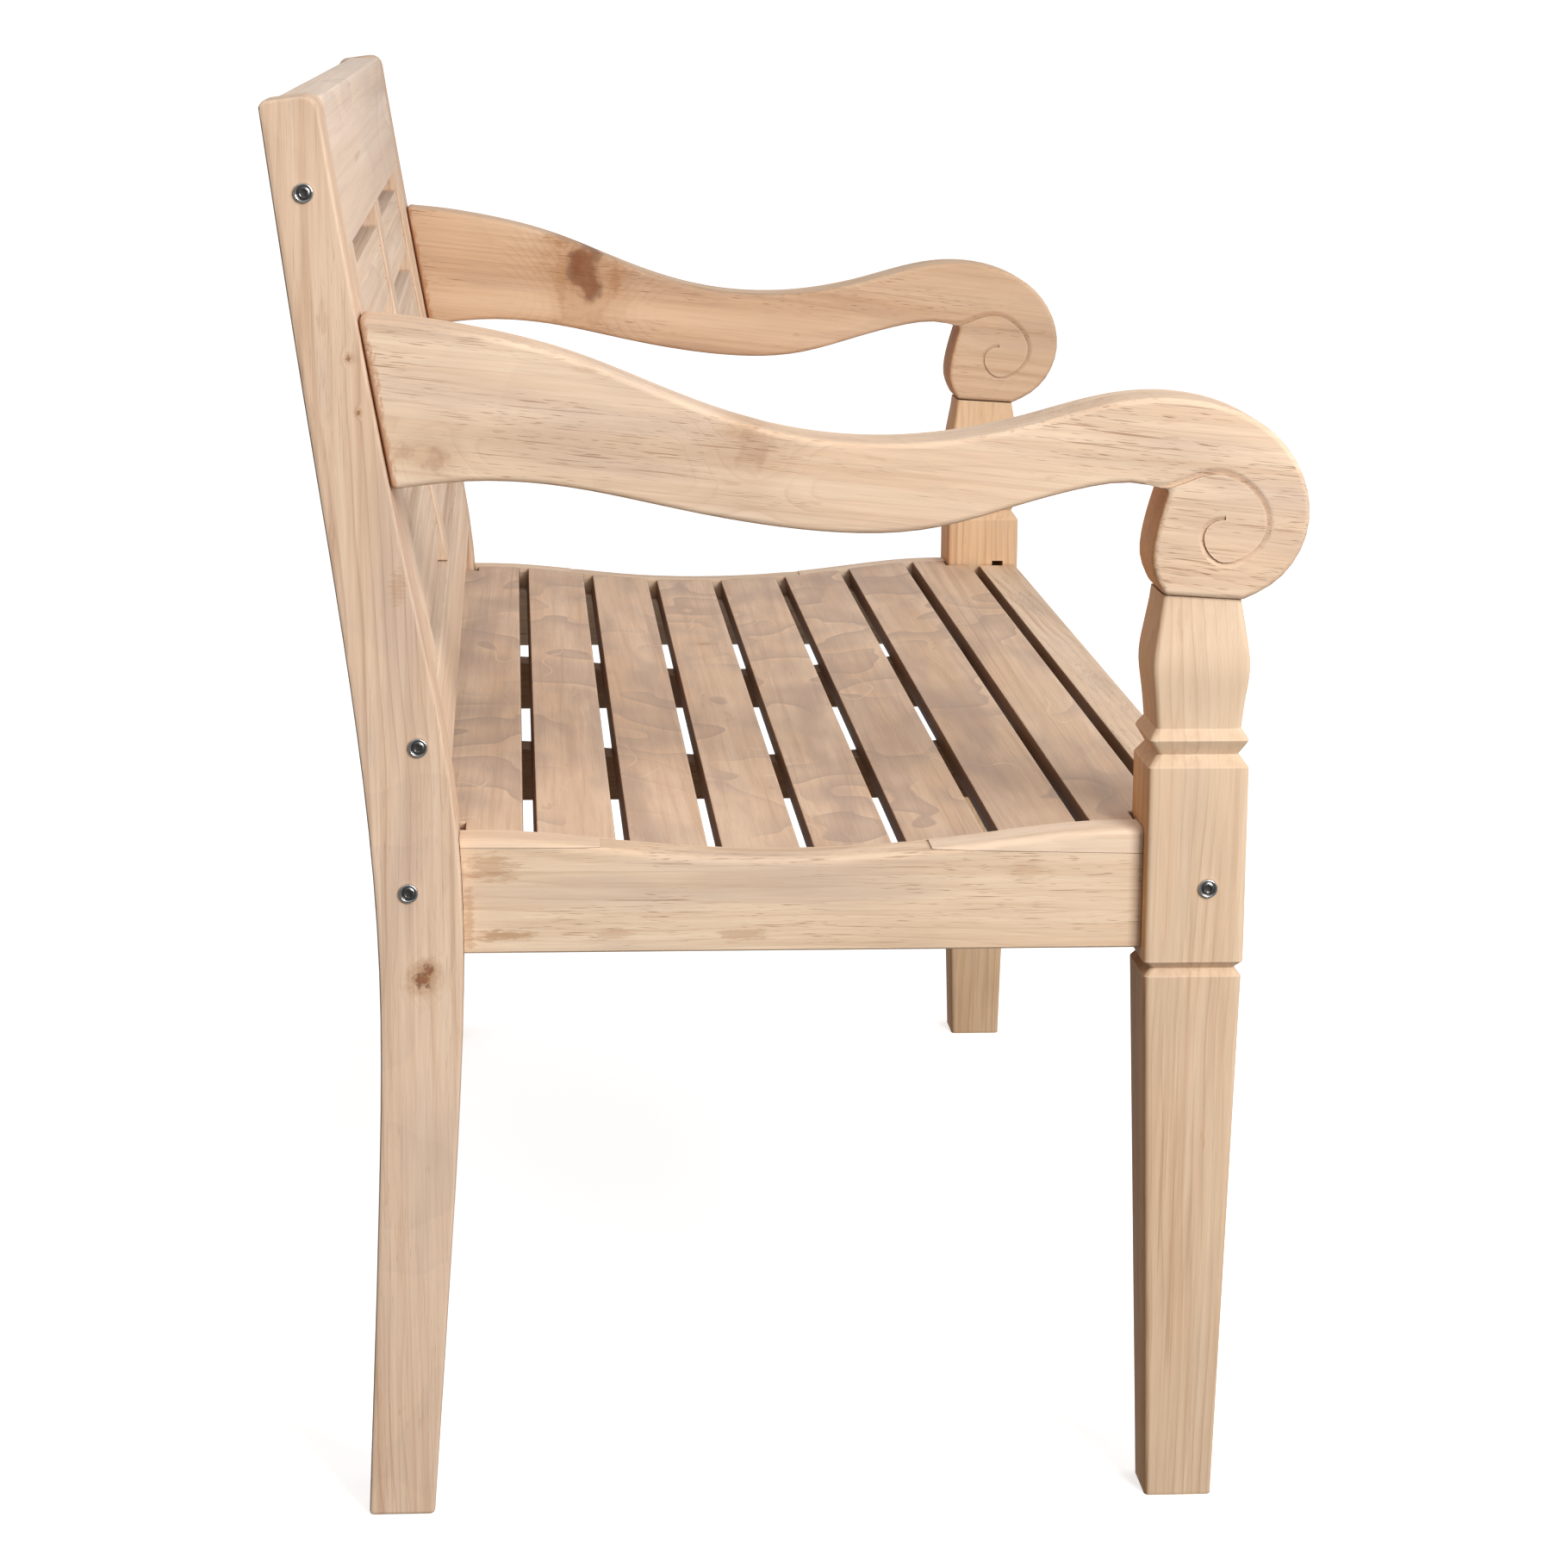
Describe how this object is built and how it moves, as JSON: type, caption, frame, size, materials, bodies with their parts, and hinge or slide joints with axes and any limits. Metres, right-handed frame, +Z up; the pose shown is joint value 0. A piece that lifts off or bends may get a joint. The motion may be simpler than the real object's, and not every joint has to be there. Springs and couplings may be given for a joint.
{
  "type": "garden bench",
  "caption": "Teak garden bench with scrolled arms, square tapered front posts, a dished slatted seat and a curved back of grooved boards.",
  "frame": {"origin": "on the ground, under the middle of the bench", "axes": "+X along the bench towards the sitter's left, +Y towards the back, +Z up; the bench faces -Y"},
  "size_m": [1.2046, 0.6439, 0.9001],
  "materials": {
    "frame_teak": "sanded, unoiled teak, warm tan with open grain",
    "seat_teak": "sanded teak, a little greyer and browner than the frame",
    "under_seat_teak": "sawn and sanded teak, unoiled",
    "pale_teak": "pale sapwood-edged teak strip",
    "polished_steel": "polished stainless steel"
  },
  "bodies": {
    "root": {"arm_left": "frame_teak", "arm_right": "frame_teak", "back_bar_left": "frame_teak", "back_bar_middle": "frame_teak", "back_bar_right": "frame_teak", "back_board_lower_left": "frame_teak", "back_board_lower_right": "frame_teak", "back_board_middle_left": "frame_teak", "back_board_middle_right": "frame_teak", "back_board_upper_left": "frame_teak", "back_board_upper_right": "frame_teak", "bolt_front_seat_rail_left": "polished_steel", "bolt_front_seat_rail_right": "polished_steel", "bolt_lower_back_rail_left": "polished_steel", "bolt_lower_back_rail_right": "polished_steel", "bolt_rear_seat_rail_left": "polished_steel", "bolt_rear_seat_rail_right": "polished_steel", "bolt_top_rail_left": "polished_steel", "bolt_top_rail_right": "polished_steel", "front_post_left": "frame_teak", "front_post_right": "frame_teak", "front_seat_rail": "frame_teak", "lower_back_rail": "frame_teak", "rail_lip_front_left": "pale_teak", "rail_lip_front_right": "pale_teak", "rail_lip_rear_left": "pale_teak", "rail_lip_rear_right": "pale_teak", "rear_leg_left": "frame_teak", "rear_leg_right": "frame_teak", "rear_seat_rail": "under_seat_teak", "seat_bearer_left": "under_seat_teak", "seat_bearer_right": "under_seat_teak", "seat_cleat_left": "under_seat_teak", "seat_cleat_right": "under_seat_teak", "seat_slat_1": "seat_teak", "seat_slat_2": "seat_teak", "seat_slat_3": "seat_teak", "seat_slat_4": "seat_teak", "seat_slat_5": "seat_teak", "seat_slat_6": "seat_teak", "seat_slat_7": "seat_teak", "seat_slat_8": "seat_teak", "side_rail_left": "frame_teak", "side_rail_right": "frame_teak", "top_rail": "frame_teak", "washer_front_seat_rail_left": "polished_steel", "washer_front_seat_rail_right": "polished_steel", "washer_lower_back_rail_left": "polished_steel", "washer_lower_back_rail_right": "polished_steel", "washer_rear_seat_rail_left": "polished_steel", "washer_rear_seat_rail_right": "polished_steel", "washer_top_rail_left": "polished_steel", "washer_top_rail_right": "polished_steel"}
  },
  "joints": []
}
